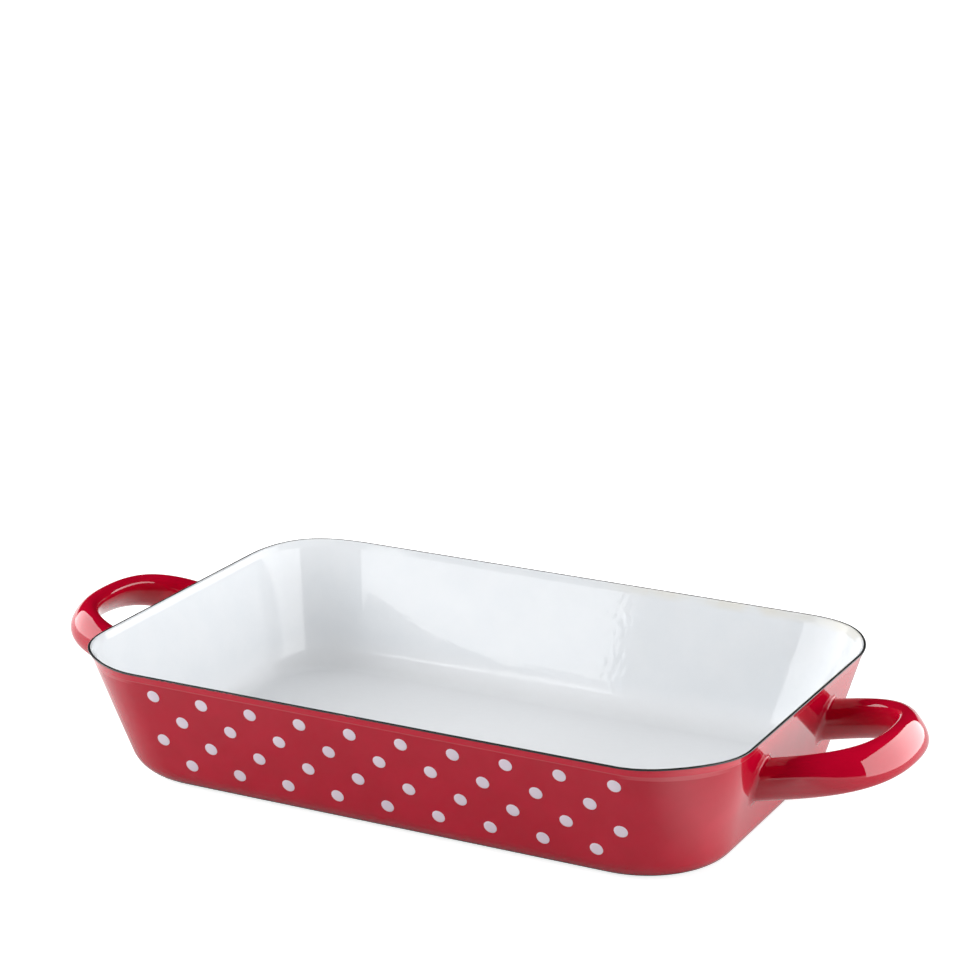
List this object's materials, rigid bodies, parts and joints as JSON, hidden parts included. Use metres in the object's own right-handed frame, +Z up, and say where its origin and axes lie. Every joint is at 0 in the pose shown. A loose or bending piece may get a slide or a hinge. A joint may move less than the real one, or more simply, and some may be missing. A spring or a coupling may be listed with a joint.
{
  "type": "roasting dish",
  "caption": "Rounded rectangular roasting dish of enamelled steel, glossy red outside and white inside, with a dark rim and a bent tube handle at each end.",
  "frame": {"origin": "on the surface it stands on, under the middle of the dish", "axes": "+X towards the right handle, -Y towards the long front wall, +Z up"},
  "size_m": [0.4442, 0.2254, 0.0636],
  "materials": {
    "red_enamel": "glossy red vitreous enamel over steel",
    "white_enamel": "glossy white vitreous enamel",
    "dark_enamel": "dark ground-coat enamel on the rim and under the base",
    "bare_steel": "plain drawn steel under the enamel"
  },
  "bodies": {
    "root": {"steel_pan": "bare_steel", "inner_enamel": "white_enamel", "outer_enamel": "red_enamel", "base_enamel": "dark_enamel", "rim_enamel": "dark_enamel", "handle_left": "bare_steel", "handle_right": "bare_steel", "handle_left_enamel": "red_enamel", "handle_right_enamel": "red_enamel", "weld_left_front": "bare_steel", "weld_left_back": "bare_steel", "weld_right_front": "bare_steel", "weld_right_back": "bare_steel"}
  },
  "joints": []
}
